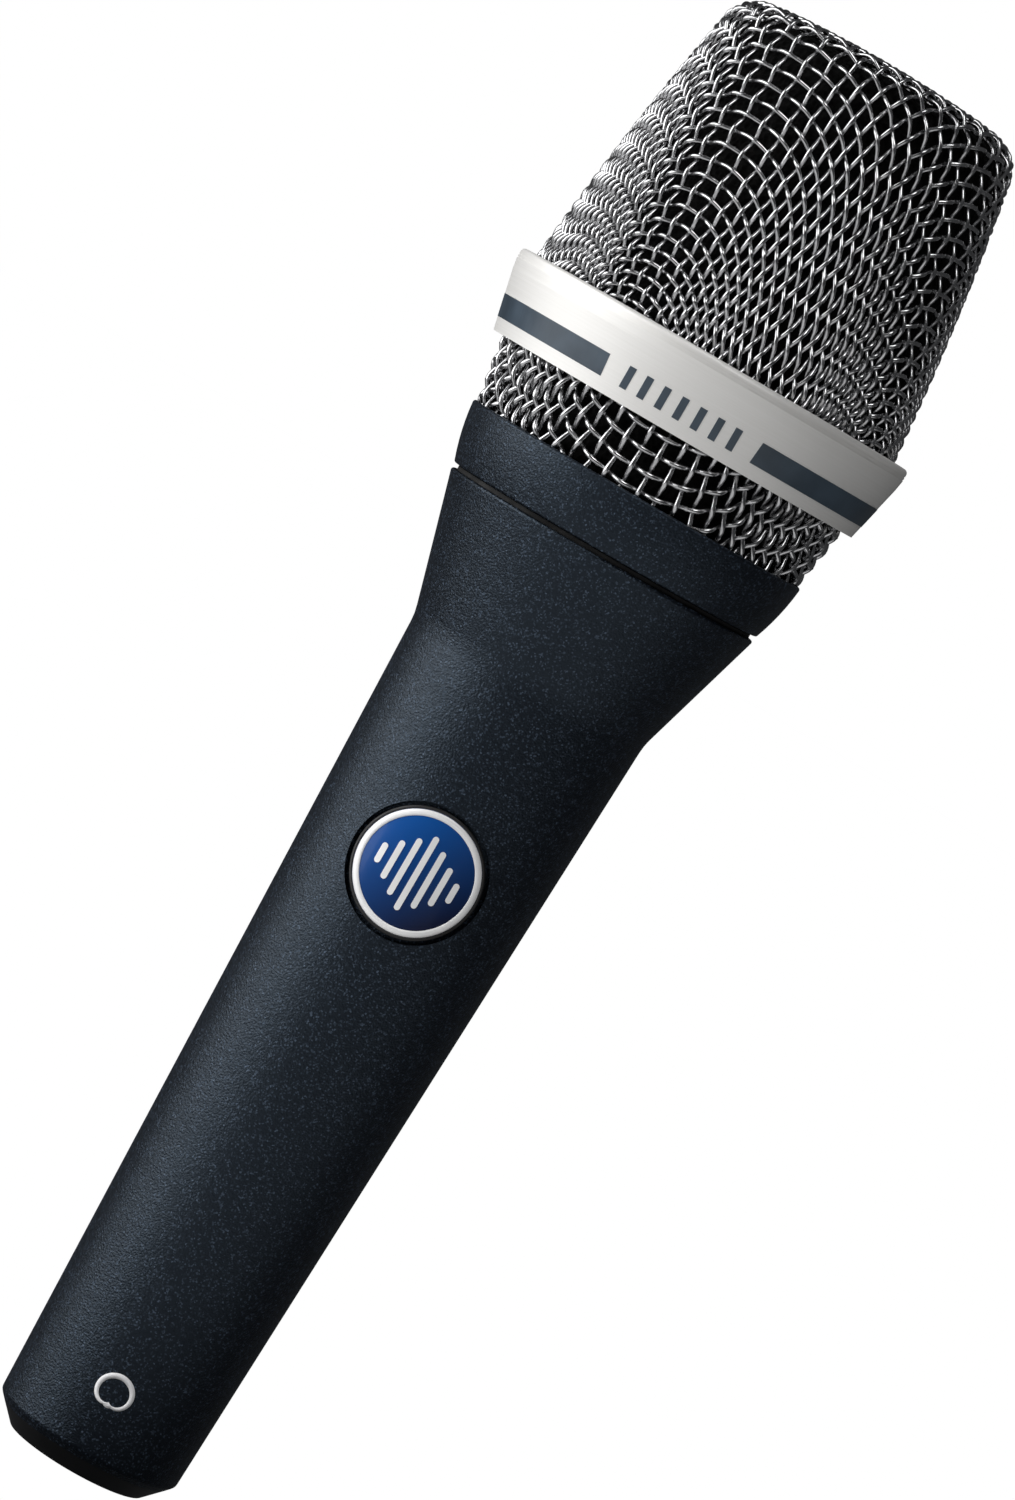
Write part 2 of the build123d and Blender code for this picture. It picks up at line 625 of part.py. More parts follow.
with BuildPart() as magnet:
    with BuildSketch(Plane.XY.offset(YOKE_BOTTOM + YOKE_FLOOR)):
        Circle(MAGNET_RADIUS)
    extrude(amount=POLE_BOTTOM - YOKE_BOTTOM - YOKE_FLOOR)
magnet.part.label = "magnet"
export_step(magnet.part, "parts/magnet.step")

with BuildPart() as pole_plate:
    with BuildSketch(Plane.XY.offset(POLE_BOTTOM)):
        Circle(POLE_RADIUS)
    extrude(amount=POLE_TOP - POLE_BOTTOM)
    chamfer(pole_plate.edges().sort_by(Axis.Z)[-1], POLE_CHAMFER)
pole_plate.part.label = "pole_plate"
export_step(pole_plate.part, "parts/pole_plate.step")

with BuildPart() as diaphragm_clamp_ring:
    revolve(tube(CAP_RADIUS, CAPSULE_INNER_RADIUS, CAPSULE_TOP, CAPSULE_TOP + CLAMP_RING_HEIGHT), axis=Axis.Z)
diaphragm_clamp_ring.part.label = "diaphragm_clamp_ring"
export_step(diaphragm_clamp_ring.part, "parts/diaphragm_clamp_ring.step")

with BuildPart() as capsule_front_cap:
    revolve(
        section(
            (0, CAP_TOP - CAP_THICKNESS),
            (CAP_INNER_RADIUS, CAP_TOP - CAP_THICKNESS),
            (CAP_INNER_RADIUS, CAPSULE_TOP + CLAMP_RING_HEIGHT),
            (CAP_RADIUS, CAPSULE_TOP + CLAMP_RING_HEIGHT),
            (CAP_RADIUS, CAP_TOP - CAP_BEVEL),
            (CAP_RADIUS - CAP_BEVEL, CAP_TOP),
            (0, CAP_TOP),
        ),
        axis=Axis.Z,
    )
    with BuildSketch(Plane.XY.offset(CAP_TOP)):
        Circle(CAP_HOLE_RADIUS)
        for hole_circle, hole_count in CAP_HOLE_CIRCLES:
            with PolarLocations(hole_circle, hole_count):
                Circle(CAP_HOLE_RADIUS)
    extrude(amount=-CAP_THICKNESS, mode=Mode.SUBTRACT)
capsule_front_cap.part.label = "capsule_front_cap"
export_step(capsule_front_cap.part, "parts/capsule_front_cap.step")

with BuildPart() as front_felt:
    with BuildSketch(Plane.XY.offset(CAP_TOP - CAP_THICKNESS - SEAT_CLEARANCE)):
        Circle(FRONT_FELT_RADIUS)
    extrude(amount=-FRONT_FELT_THICKNESS)
front_felt.part.label = "front_felt"
export_step(front_felt.part, "parts/front_felt.step")

# Diaphragm: a centre dome inside the voice coil and a rolled surround outside it
with BuildPart() as diaphragm:
    top = DIAPHRAGM_HEIGHT + DIAPHRAGM_THICKNESS
    roll_middle = (COIL_RADIUS + DIAPHRAGM_RADIUS) / 2
    dome_radius = (COIL_INNER_RADIUS**2 + DOME_RISE**2) / (2 * DOME_RISE)
    dome_centre = (0, DIAPHRAGM_HEIGHT + DOME_RISE - dome_radius)
    dome_turn = math.degrees(math.asin(COIL_INNER_RADIUS / dome_radius))
    with BuildSketch(Plane.XZ):
        with BuildLine():
            under_dome = CenterArc(dome_centre, dome_radius, 90, -dome_turn)
            under_seat = Line(under_dome @ 1, (COIL_RADIUS, DIAPHRAGM_HEIGHT))
            under_roll = ThreePointArc(
                under_seat @ 1,
                (roll_middle, DIAPHRAGM_HEIGHT + ROLL_RISE),
                (DIAPHRAGM_RADIUS, DIAPHRAGM_HEIGHT),
            )
            rim = Line(under_roll @ 1, (DIAPHRAGM_RADIUS, top))
            over_roll = ThreePointArc(rim @ 1, (roll_middle, top + ROLL_RISE), (COIL_RADIUS, top))
            over_dome = CenterArc(dome_centre, dome_radius + DIAPHRAGM_THICKNESS, 90 - dome_turn, dome_turn)
            Line(over_roll @ 1, over_dome @ 0)
            Line(over_dome @ 1, under_dome @ 0)
        make_face()
    revolve(axis=Axis.Z)
diaphragm.part.label = "diaphragm"
export_step(diaphragm.part, "parts/diaphragm.step")

with BuildPart() as voice_coil:
    revolve(tube(COIL_RADIUS, COIL_INNER_RADIUS, COIL_BOTTOM, DIAPHRAGM_HEIGHT), axis=Axis.Z)
voice_coil.part.label = "voice_coil"
export_step(voice_coil.part, "parts/voice_coil.step")

# --- Grille head ----------------------------------------------------------------------------------

with BuildPart() as grille_collar:
    seat_top_radius = LOWER_BOTTOM_RADIUS + 0.18 * (COLLAR_TOP - COLLAR_SEAT_HEIGHT) + SEAT_CLEARANCE
    with BuildSketch(Plane.XZ):
        with BuildLine():
            side = ThreePointArc(
                (COLLAR_BOTTOM_RADIUS, COLLAR_BOTTOM), COLLAR_MIDDLE, (COLLAR_TOP_RADIUS, COLLAR_TOP)
            )
            inside = Polyline(
                side @ 1,
                (seat_top_radius, COLLAR_TOP),
                (LOWER_BOTTOM_RADIUS + SEAT_CLEARANCE, COLLAR_SEAT_HEIGHT),
                (COLLAR_BORE_RADIUS, COLLAR_SEAT_HEIGHT),
                (COLLAR_BORE_RADIUS, COLLAR_BOTTOM),
                side @ 0,
            )
        make_face()
    revolve(axis=Axis.Z)
    outer_rims = grille_collar.edges().filter_by(GeomType.CIRCLE)
    fillet(outer_rims.filter_by(lambda e: abs(e.radius - COLLAR_TOP_RADIUS) < 0.01), radius=COLLAR_TOP_ROUND)
    outer_rims = grille_collar.edges().filter_by(GeomType.CIRCLE)
    fillet(outer_rims.filter_by(lambda e: abs(e.radius - COLLAR_BOTTOM_RADIUS) < 0.01), radius=EDGE_ROUND)
grille_collar.part.label = "grille_collar"
export_step(grille_collar.part, "parts/grille_collar.step")

with BuildPart() as grille_lower_mesh:
    with BuildSketch(Plane.XZ):
        with BuildLine():
            outside = ThreePointArc(
                (LOWER_BOTTOM_RADIUS, COLLAR_SEAT_HEIGHT),
                (LOWER_MIDDLE_RADIUS, LOWER_MIDDLE_HEIGHT),
                (LOWER_TOP_RADIUS, LOWER_TOP_HEIGHT),
            )
            inside = ThreePointArc(
                (LOWER_TOP_RADIUS - MESH_THICKNESS, LOWER_TOP_HEIGHT),
                (LOWER_MIDDLE_RADIUS - MESH_THICKNESS, LOWER_MIDDLE_HEIGHT),
                (LOWER_BOTTOM_RADIUS - MESH_THICKNESS, COLLAR_SEAT_HEIGHT),
            )
            Line(outside @ 1, inside @ 0)
            Line(inside @ 1, outside @ 0)
        make_face()
    revolve(axis=Axis.Z)
grille_lower_mesh.part.label = "grille_lower_mesh"
export_step(grille_lower_mesh.part, "parts/grille_lower_mesh.step")

with BuildPart() as grille_band:
    revolve(
        section(
            (BAND_BOTTOM_BORE_RADIUS, BAND_BOTTOM),
            (BAND_BOTTOM_RADIUS, BAND_BOTTOM),
            BAND_BROW,
            (BAND_RADIUS, BAND_RIM_BOTTOM),
            (BAND_RADIUS, BAND_TOP),
            (BAND_SEAT_RADIUS, BAND_TOP),
            (BAND_SEAT_RADIUS, BAND_RIB_TOP),
            (BAND_RIB_RADIUS, BAND_RIB_TOP),
            (BAND_RIB_RADIUS, BAND_RIB_BOTTOM),
            (BAND_BORE_RADIUS, BAND_RIB_BOTTOM),
        ),
        axis=Axis.Z,
    )
    top_rim = grille_band.edges().filter_by(GeomType.CIRCLE).group_by(Axis.Z)[-1].sort_by(SortBy.RADIUS)[-1]
    fillet(top_rim, radius=BAND_TOP_ROUND)
    # Two fine lines turned just below the top edge
    for line_bottom in BAND_LINE_HEIGHTS:
        line_top = line_bottom + BAND_LINE_WIDTH
        line_root = BAND_RADIUS - BAND_LINE_DEPTH
        revolve(tube(BAND_RADIUS + 1, line_root, line_bottom, line_top), axis=Axis.Z, mode=Mode.SUBTRACT)
grille_band.part.label = "grille_band"
export_step(grille_band.part, "parts/grille_band.step")


CROWN_RISE = TOTAL_LENGTH - CROWN_CORNER_HEIGHT - CROWN_CORNER_RADIUS
CROWN_RADIUS = (CROWN_CORNER_CENTRE**2 + CROWN_RISE**2) / (2 * CROWN_RISE)
CROWN_TURN = math.degrees(math.asin(CROWN_CORNER_CENTRE / CROWN_RADIUS))


def crown_arc(inset):
    """The shallow dome of the crown, centred on the axis, from the axis to the tight corner."""
    return CenterArc((0, TOTAL_LENGTH - inset - CROWN_RADIUS), CROWN_RADIUS, 90, -CROWN_TURN)


def basket_outline(inset):
    """Points of the upper basket's surface moved inwards by an inset, from the crown to the skirt."""
    corner = CROWN_CORNER_RADIUS - inset
    corner_points = [
        (
            CROWN_CORNER_CENTRE + corner * math.cos(math.radians(turn)),
            CROWN_CORNER_HEIGHT + corner * math.sin(math.radians(turn)),
        )
        for turn in (90, 50, CROWN_CORNER_END)
    ]
    return {
        "crown": (0, TOTAL_LENGTH - inset),
        "corner": corner_points,
        "side": (BASKET_SIDE_RADIUS - inset, BASKET_SIDE_HEIGHT),
        "skirt": (BASKET_SKIRT_RADIUS - inset, BASKET_SKIRT_TOP),
    }


outer_basket = basket_outline(0)
inner_basket = basket_outline(MESH_THICKNESS)

with BuildPart() as grille_upper_mesh:
    with BuildSketch(Plane.XZ):
        with BuildLine():
            crown_arc(0)
            ThreePointArc(*outer_basket["corner"])
            ThreePointArc(outer_basket["corner"][2], outer_basket["side"], outer_basket["skirt"])
            Polyline(
                outer_basket["skirt"],
                (BASKET_SKIRT_RADIUS, BAND_RIB_TOP),
                (BASKET_SKIRT_RADIUS - MESH_THICKNESS, BAND_RIB_TOP),
                inner_basket["skirt"],
            )
            ThreePointArc(inner_basket["skirt"], inner_basket["side"], inner_basket["corner"][2])
            ThreePointArc(*reversed(inner_basket["corner"]))
            crown_arc(MESH_THICKNESS)
            Line(inner_basket["crown"], outer_basket["crown"])
        make_face()
    revolve(axis=Axis.Z)
grille_upper_mesh.part.label = "grille_upper_mesh"
export_step(grille_upper_mesh.part, "parts/grille_upper_mesh.step")

# Foam lining: follows both baskets inside and has a hollow for the capsule.
foam_basket = basket_outline(MESH_THICKNESS + FOAM_GAP)

with BuildPart() as foam_windscreen:
    with BuildSketch(Plane.XZ):
        with BuildLine():
            crown_arc(MESH_THICKNESS + FOAM_GAP)
            ThreePointArc(*foam_basket["corner"])
            ThreePointArc(foam_basket["corner"][2], foam_basket["side"], foam_basket["skirt"])
            Polyline(
                foam_basket["skirt"],
                (foam_basket["skirt"][0], BAND_RIB_TOP + 0.8),
                (BAND_RIB_RADIUS - FOAM_GAP, BAND_RIB_TOP + FOAM_GAP),
                (BAND_RIB_RADIUS - FOAM_GAP, BAND_RIB_BOTTOM - 1.5),
                (FOAM_BOTTOM_RADIUS, FOAM_BOTTOM),
                (FOAM_HOLLOW_RADIUS, FOAM_BOTTOM),
                (FOAM_HOLLOW_RADIUS, FOAM_HOLLOW_STRAIGHT_TOP),
                FOAM_HOLLOW_SHOULDER,
                (0, FOAM_HOLLOW_TOP),
                foam_basket["crown"],
            )
        make_face()
    revolve(axis=Axis.Z)
foam_windscreen.part.label = "foam_windscreen"
export_step(foam_windscreen.part, "parts/foam_windscreen.step")
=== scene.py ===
import json
import math
import random

import bpy
import numpy as np
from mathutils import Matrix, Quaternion, Vector


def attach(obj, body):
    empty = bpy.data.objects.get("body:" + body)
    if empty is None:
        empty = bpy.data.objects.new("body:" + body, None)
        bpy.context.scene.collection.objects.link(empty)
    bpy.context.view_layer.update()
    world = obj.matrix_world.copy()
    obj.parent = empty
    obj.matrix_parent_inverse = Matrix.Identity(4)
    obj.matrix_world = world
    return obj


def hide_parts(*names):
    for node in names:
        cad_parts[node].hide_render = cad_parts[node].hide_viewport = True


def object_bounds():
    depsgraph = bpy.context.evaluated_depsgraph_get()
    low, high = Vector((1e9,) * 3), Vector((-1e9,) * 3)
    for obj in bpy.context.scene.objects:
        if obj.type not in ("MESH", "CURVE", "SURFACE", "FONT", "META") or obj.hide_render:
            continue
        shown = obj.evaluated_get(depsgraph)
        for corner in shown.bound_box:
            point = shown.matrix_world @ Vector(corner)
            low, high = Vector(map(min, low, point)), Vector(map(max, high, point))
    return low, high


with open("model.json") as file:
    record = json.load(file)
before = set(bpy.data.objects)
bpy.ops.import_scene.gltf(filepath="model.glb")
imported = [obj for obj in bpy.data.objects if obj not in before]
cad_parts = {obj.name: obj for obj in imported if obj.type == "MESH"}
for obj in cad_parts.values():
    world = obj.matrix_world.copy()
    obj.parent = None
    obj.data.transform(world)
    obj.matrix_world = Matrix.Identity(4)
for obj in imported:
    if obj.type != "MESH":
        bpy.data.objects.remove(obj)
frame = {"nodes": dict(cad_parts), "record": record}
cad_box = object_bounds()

# Lengths below are in millimetres and are turned into metres where geometry is made.
MM = 0.001

# --- The shapes that Blender pieces follow ---------------------------------------------------------

# Upper basket, outer surface: crown, tight corner, side, skirt inside the band
TOTAL_LENGTH = cad_box[1].z / MM
CORNER_CENTRE = 14.5
CORNER_HEIGHT = 180.2
CORNER_RADIUS = 4.57
CORNER_END = 11.0
SIDE_MIDDLE = (21.76, 163.8)
SKIRT = (23.66, 147.2)
SKIRT_BOTTOM = 142.9
# Lower basket, outer surface
LOWER_BOTTOM = (20.73, 126.8)
LOWER_MIDDLE = (21.94, 133.5)
LOWER_TOP = (22.87, 141.0)
CLOTH_THICKNESS = 1.2
# Handle and band
HANDLE_START = (11.6, 3.05)
HANDLE_END = (15.19, 104.3)
BAND_FOOT = (23.68, 136.9)
BAND_BROW = (25.3, 144.1)
STRIPE_BOTTOM = 138.5
STRIPE_TOP = 141.15
BADGE_HEIGHT = 79.6
BADGE_RADIUS = 7.68
GLYPH_HEIGHT = 11.0
THREAD_ROOT = 17.6
THREAD_CREST = 18.15
THREAD_BOTTOM = 122.0
THREAD_TOP = 127.4
THREAD_PITCH = 1.0

# Marks on the band, badge and handle
MARK_HEIGHT = 0.03
STRIPE_START = math.radians(22)
STRIPE_END = math.radians(335)
STROKE_COUNT = 7
STROKE_SPACING = 2.3
STROKE_HALF_WIDTH = 0.45
STROKE_SHIFT = -0.6
BAR_HALF_HEIGHTS = (0.9, 2.1, 3.3, 4.4, 3.3, 2.1, 0.9)
BAR_SPACING = 1.55
BAR_HALF_WIDTH = 0.36
GLYPH_SIZE = 1.6
GLYPH_HALF_LINE = 0.33
GLYPH_CUSP = 0.4

# Woven cloth
WIRE_PITCH = 2.22
UPPER_WIRE_RADIUS = 0.27
LOWER_WIRE_RADIUS = 0.31
CRIMP = 1.3
UPPER_SQUARE_TURN = math.radians(-29)
LOWER_SQUARE_TURN = math.radians(-3)
LOWER_START = 22.8
WIRE_SIDES = 8
STEPS_PER_PITCH = 6


# --- Small helpers ---------------------------------------------------------------------------------


def make_object(name, points_mm, faces, body, material, smooth=True):
    """A mesh piece from points in millimetres, riding on a CAD body."""
    mesh = bpy.data.meshes.new(name)
    mesh.from_pydata((np.asarray(points_mm, dtype=float) * MM).tolist(), [], faces)
    mesh.update()
    mesh.materials.append(material)
    if smooth:
        mesh.shade_smooth()
    piece = bpy.data.objects.new(name, mesh)
    bpy.context.collection.objects.link(piece)
    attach(piece, body)
    return piece


def handle_radius(height):
    slope = (HANDLE_END[0] - HANDLE_START[0]) / (HANDLE_END[1] - HANDLE_START[1])
    return HANDLE_START[0] + slope * (height - HANDLE_START[1])


def band_radius(height):
    slope = (BAND_BROW[0] - BAND_FOOT[0]) / (BAND_BROW[1] - BAND_FOOT[1])
    return BAND_FOOT[0] + slope * (height - BAND_FOOT[1])


def on_handle(x, z, depth):
    """The point at x and height z that lies depth below the front of the handle."""
    return (x, -math.sqrt((handle_radius(z) - depth) ** 2 - x * x), z)


def around(radius, turn, z):
    """A point at a turn in radians from the front towards +X."""
    return (radius * math.sin(turn), -radius * math.cos(turn), z)


def arc_through(start, middle, end, count):
    """Points along the circle arc through three points of a plane."""
    (ax, ay), (bx, by), (cx, cy) = start, middle, end
    d = 2 * (ax * (by - cy) + bx * (cy - ay) + cx * (ay - by))
    a2, b2, c2 = ax * ax + ay * ay, bx * bx + by * by, cx * cx + cy * cy
    ux = (a2 * (by - cy) + b2 * (cy - ay) + c2 * (ay - by)) / d
    uy = (a2 * (cx - bx) + b2 * (ax - cx) + c2 * (bx - ax)) / d
    first = math.atan2(ay - uy, ax - ux)
    last = math.atan2(cy - uy, cx - ux)
    radius = math.hypot(ax - ux, ay - uy)
    turns = np.linspace(first, last, count)
    return [(ux + radius * math.cos(t), uy + radius * math.sin(t)) for t in turns]


# --- Materials -------------------------------------------------------------------------------------


class Finish:
    """A Principled material with object coordinates in millimetres."""

    def __init__(self, name, colour, roughness, metallic=0.0, **sockets):
        self.material = bpy.data.materials.new(name)
        self.material.use_nodes = True
        self.nodes = self.material.node_tree.nodes
        self.links = self.material.node_tree.links
        self.shader = self.nodes["Principled BSDF"]
        self.shader.inputs["Base Color"].default_value = (*colour, 1)
        self.shader.inputs["Roughness"].default_value = roughness
        self.shader.inputs["Metallic"].default_value = metallic
        for socket, value in sockets.items():
            self.shader.inputs[socket.replace("_", " ")].default_value = value
        self.last_bump = None

    def coordinates(self, scale):
        place = self.nodes.new("ShaderNodeTexCoord")
        mapping = self.nodes.new("ShaderNodeMapping")
        mapping.inputs["Scale"].default_value = [s / MM for s in scale]
        self.links.new(place.outputs["Object"], mapping.inputs["Vector"])
        return mapping.outputs["Vector"]

    def noise(self, scale, detail=2.0):
        """Smooth noise. scale is in features per millimetre along X, Y and Z."""
        texture = self.nodes.new("ShaderNodeTexNoise")
        texture.inputs["Scale"].default_value = 1.0
        texture.inputs["Detail"].default_value = detail
        self.links.new(self.coordinates(scale), texture.inputs["Vector"])
        return texture.outputs["Fac"]

    def cells(self, scale, output="Distance"):
        """Voronoi cells. scale is in cells per millimetre along X, Y and Z."""
        texture = self.nodes.new("ShaderNodeTexVoronoi")
        texture.inputs["Scale"].default_value = 1.0
        self.links.new(self.coordinates(scale), texture.inputs["Vector"])
        return texture.outputs[output]

    def ramp(self, value, low, high, low_colour, high_colour):
        """A colour between two, as value goes from low to high."""
        ramp = self.nodes.new("ShaderNodeValToRGB")
        ramp.color_ramp.elements[0].position = low
        ramp.color_ramp.elements[1].position = high
        ramp.color_ramp.elements[0].color = (*low_colour, 1)
        ramp.color_ramp.elements[1].color = (*high_colour, 1)
        self.links.new(value, ramp.inputs["Fac"])
        return ramp.outputs["Color"]

    def colour(self, output):
        self.links.new(output, self.shader.inputs["Base Color"])

    def rough(self, value, low, high):
        """Roughness from low to high as value goes from 0.3 to 0.7."""
        spread = self.nodes.new("ShaderNodeMapRange")
        spread.inputs["From Min"].default_value = 0.3
        spread.inputs["From Max"].default_value = 0.7
        spread.inputs["To Min"].default_value = low
        spread.inputs["To Max"].default_value = high
        self.links.new(value, spread.inputs["Value"])
        self.links.new(spread.outputs["Result"], self.shader.inputs["Roughness"])

    def bump(self, value, strength, depth_mm):
        bump = self.nodes.new("ShaderNodeBump")
        bump.inputs["Strength"].default_value = strength
        bump.inputs["Distance"].default_value = depth_mm * MM
        self.links.new(value, bump.inputs["Height"])
        if self.last_bump is not None:
            self.links.new(self.last_bump, bump.inputs["Normal"])
        self.last_bump = bump.outputs["Normal"]
        self.links.new(self.last_bump, self.shader.inputs["Normal"])


def shade(colour, factor):
    return tuple(min(1.0, c * factor) for c in colour)


def grained(name, colour, roughness, metallic=0.0, grain=(2, 2, 2), contrast=0.25, depth=0.02, **sockets):
    """A plain finish with uneven colour, roughness and a fine grain."""
    finish = Finish(name, colour, roughness, metallic, **sockets)
    broad = finish.noise([g * 0.12 for g in grain])
    fine = finish.noise(grain, detail=4)
    finish.colour(finish.ramp(broad, 0.3, 0.7, shade(colour, 1 - contrast), shade(colour, 1 + contrast)))
    finish.rough(broad, roughness * 0.85, min(1.0, roughness * 1.15))
    finish.bump(fine, 0.5, depth)
    return finish.material


def casing_paint():
    """Near-black blue-grey paint with fine metal flake, slightly pebbled."""
    finish = Finish("casing_paint", (0.006, 0.008, 0.012), 0.4, 0.1, Specular_IOR_Level=0.44)
    finish.shader.inputs["Specular Tint"].default_value = (0.62, 0.8, 1.0, 1)
    flake = finish.cells((5.6, 5.6, 5.6), "Color")
    finish.colour(finish.ramp(flake, 0.7, 1.0, (0.003, 0.004, 0.0065), (0.07, 0.095, 0.135)))
    finish.rough(finish.noise((0.4, 0.4, 0.4)), 0.37, 0.43)
    finish.bump(finish.noise((4, 4, 4), detail=2), 1.0, 0.1)
    return finish.material


def wire_steel():
    """Satin drawn steel wire, a little duller in places."""
    finish = Finish("wire_steel", (0.5, 0.5, 0.51), 0.33, 1.0)
    patch = finish.noise((0.6, 0.6, 0.6))
    finish.colour(finish.ramp(patch, 0.3, 0.7, (0.44, 0.44, 0.45), (0.6, 0.6, 0.61)))
    finish.rough(patch, 0.2, 0.28)
    finish.bump(finish.noise((8, 8, 8), detail=3), 0.25, 0.01)
    return finish.material


def band_nickel():
    """Satin nickel with fine lines turned round the ring."""
    finish = Finish("band_nickel", (0.84, 0.83, 0.8), 0.55, 0.35)
    lines = finish.noise((0.05, 0.05, 9), detail=3)
    finish.colour(finish.ramp(lines, 0.3, 0.7, (0.84, 0.83, 0.805), (0.88, 0.87, 0.85)))
    finish.rough(lines, 0.52, 0.58)
    finish.bump(lines, 0.05, 0.008)
    finish.bump(finish.noise((4, 4, 4), detail=2), 0.25, 0.015)
    return finish.material


def badge_enamel():
    """Blue enamel under a clear gloss, with painted light: brighter towards the upper left, where the key
    lamp falls, and darker to the lower right.
    """
    finish = Finish("badge_enamel", (0.01, 0.06, 0.3), 0.3, 0.0, Specular_IOR_Level=0.2, Coat_Weight=0.08)
    # Painted light: the enamel colour runs from a dark blue at the lower right to a bright blue at the upper
    # left, towards the key lamp.
    place = finish.nodes.new("ShaderNodeTexCoord")
    lean = finish.nodes.new("ShaderNodeVectorMath")
    lean.operation = "DOT_PRODUCT"
    lean.inputs[1].default_value = (-0.5 / (BADGE_RADIUS * MM) * 0.7, 0, 0.5 / (BADGE_RADIUS * MM) * 0.7)
    finish.links.new(place.outputs["Object"], lean.inputs[0])
    centre = finish.nodes.new("ShaderNodeMath")
    centre.operation = "SUBTRACT"
    centre.inputs[1].default_value = 0.35 / BADGE_RADIUS * BADGE_HEIGHT - 0.5
    finish.links.new(lean.outputs["Value"], centre.inputs[0])
    blue = finish.ramp(centre.outputs["Value"], 0.1, 0.95, (0.0005, 0.005, 0.035), (0.002, 0.085, 0.36))
    finish.colour(blue)
    finish.bump(finish.noise((0.8, 0.8, 0.8)), 0.1, 0.02)
    return finish.material


def open_cell_foam(name="foam_black", colour=(0.003, 0.003, 0.003)):
    """Reticulated foam: thin walls round pits, with painted shade darkening the pits."""
    finish = Finish(name, colour, 1.0, 0.0, Specular_IOR_Level=0.1)
    pits = finish.cells((1.4, 1.4, 1.4))
    # Painted shade: the colour is darkest at the middle of each cell, in the pits, and lighter on the walls.
    finish.colour(finish.ramp(pits, 0.1, 0.6, shade(colour, 0.3), shade(colour, 1.6)))
    finish.bump(pits, 1.0, 0.4)
    return finish.material


def felt(name, colour):
    """Matted fibres."""
    finish = Finish(name, colour, 0.95, 0.0, Specular_IOR_Level=0.2)
    fibres = finish.noise((6, 1.2, 2.5), detail=5)
    finish.colour(finish.ramp(fibres, 0.3, 0.7, shade(colour, 0.6), shade(colour, 1.3)))
    finish.bump(fibres, 0.8, 0.1)
    return finish.material


def winding(name, colour, per_mm):
    """Turns of enamelled wire lying side by side up the coil."""
    finish = Finish(name, colour, 0.3, 0.8)
    turns = finish.noise((0.05, 0.05, per_mm), detail=1)
    finish.colour(finish.ramp(turns, 0.35, 0.65, shade(colour, 0.5), shade(colour, 1.2)))
    finish.bump(turns, 0.7, 0.05)
    return finish.material


MATERIALS = {
    "casing_paint": casing_paint(),
    "wire_steel": wire_steel(),
    "band_nickel": band_nickel(),
    "badge_enamel": badge_enamel(),
    "foam_black": open_cell_foam(),
    "felt_grey": felt("felt_grey", (0.22, 0.22, 0.21)),
    "coil_copper": winding("coil_copper", (0.55, 0.22, 0.08), 7),
    "thread_metal": grained("thread_metal", (0.06, 0.06, 0.065), 0.45, 1.0, (1, 1, 8), 0.15, 0.01),
    "rubber_black": grained("rubber_black", (0.005, 0.005, 0.005), 0.85, 0, (4, 4, 4), 0.3, 0.03),
    "socket_black": grained("socket_black", (0.008, 0.008, 0.009), 0.38, 0.2, (3, 3, 6), 0.3, 0.01),
    "insert_plastic": grained("insert_plastic", (0.015, 0.015, 0.016), 0.5, 0, (3, 3, 3), 0.3, 0.02),
    "contact_metal": grained("contact_metal", (0.78, 0.74, 0.62), 0.22, 1.0, (3, 3, 1), 0.1, 0.005),
    "screw_steel": grained("screw_steel", (0.2, 0.2, 0.21), 0.32, 1.0, (3, 3, 3), 0.2, 0.01),
    "board_green": grained("board_green", (0.01, 0.12, 0.05), 0.3, 0, (1, 1, 1), 0.3, 0.02, Coat_Weight=0.5),
    "choke_ferrite": grained("choke_ferrite", (0.05, 0.045, 0.045), 0.6, 0.2, (5, 5, 5), 0.4, 0.03),
    "capacitor_plastic": grained("capacitor_plastic", (0.4, 0.07, 0.03), 0.3, 0, (1, 1, 1), 0.2, 0.03),
    "lead_black": grained("lead_black", (0.02, 0.02, 0.02), 0.5, 0, (2, 2, 1), 0.3, 0.02),
    "lead_red": grained("lead_red", (0.4, 0.02, 0.015), 0.5, 0, (2, 2, 1), 0.2, 0.02),
    "capsule_aluminium": grained("capsule_aluminium", (0.6, 0.6, 0.62), 0.3, 1.0, (0.3, 0.3, 8), 0.1, 0.01),
    "magnet_iron": grained("magnet_iron", (0.32, 0.32, 0.34), 0.35, 0.9, (2, 2, 2), 0.25, 0.02),
    "diaphragm_film": grained("diaphragm_film", (0.55, 0.52, 0.42), 0.2, 0.3, (1, 1, 1), 0.15, 0.02),
}

band_print = grained("band_print", (0.045, 0.066, 0.09), 0.36, 0, (2, 2, 2), 0.2, 0.01)
glyph_print = grained("glyph_print", (0.92, 0.92, 0.93), 0.5, 0, (3, 3, 3), 0.06, 0.01)
# Painted shade: a near-black finish for the ring that fills the gap round the badge.
badge_gap_shade = grained("badge_gap_shade", (0.004, 0.004, 0.005), 0.5, 0, (3, 3, 3), 0.3, 0.01)
badge_metal = grained("badge_metal", (0.95, 0.955, 0.96), 0.4, 0.1, (2, 2, 2), 0.06, 0.01)

slot_of = {part["node"]: part["material_slot"] for part in frame["record"]["subparts"]}
for node, cad_object in frame["nodes"].items():
    for material_slot in cad_object.material_slots:
        material_slot.material = MATERIALS[slot_of[node]]


# --- Woven wire baskets ----------------------------------------------------------------------------


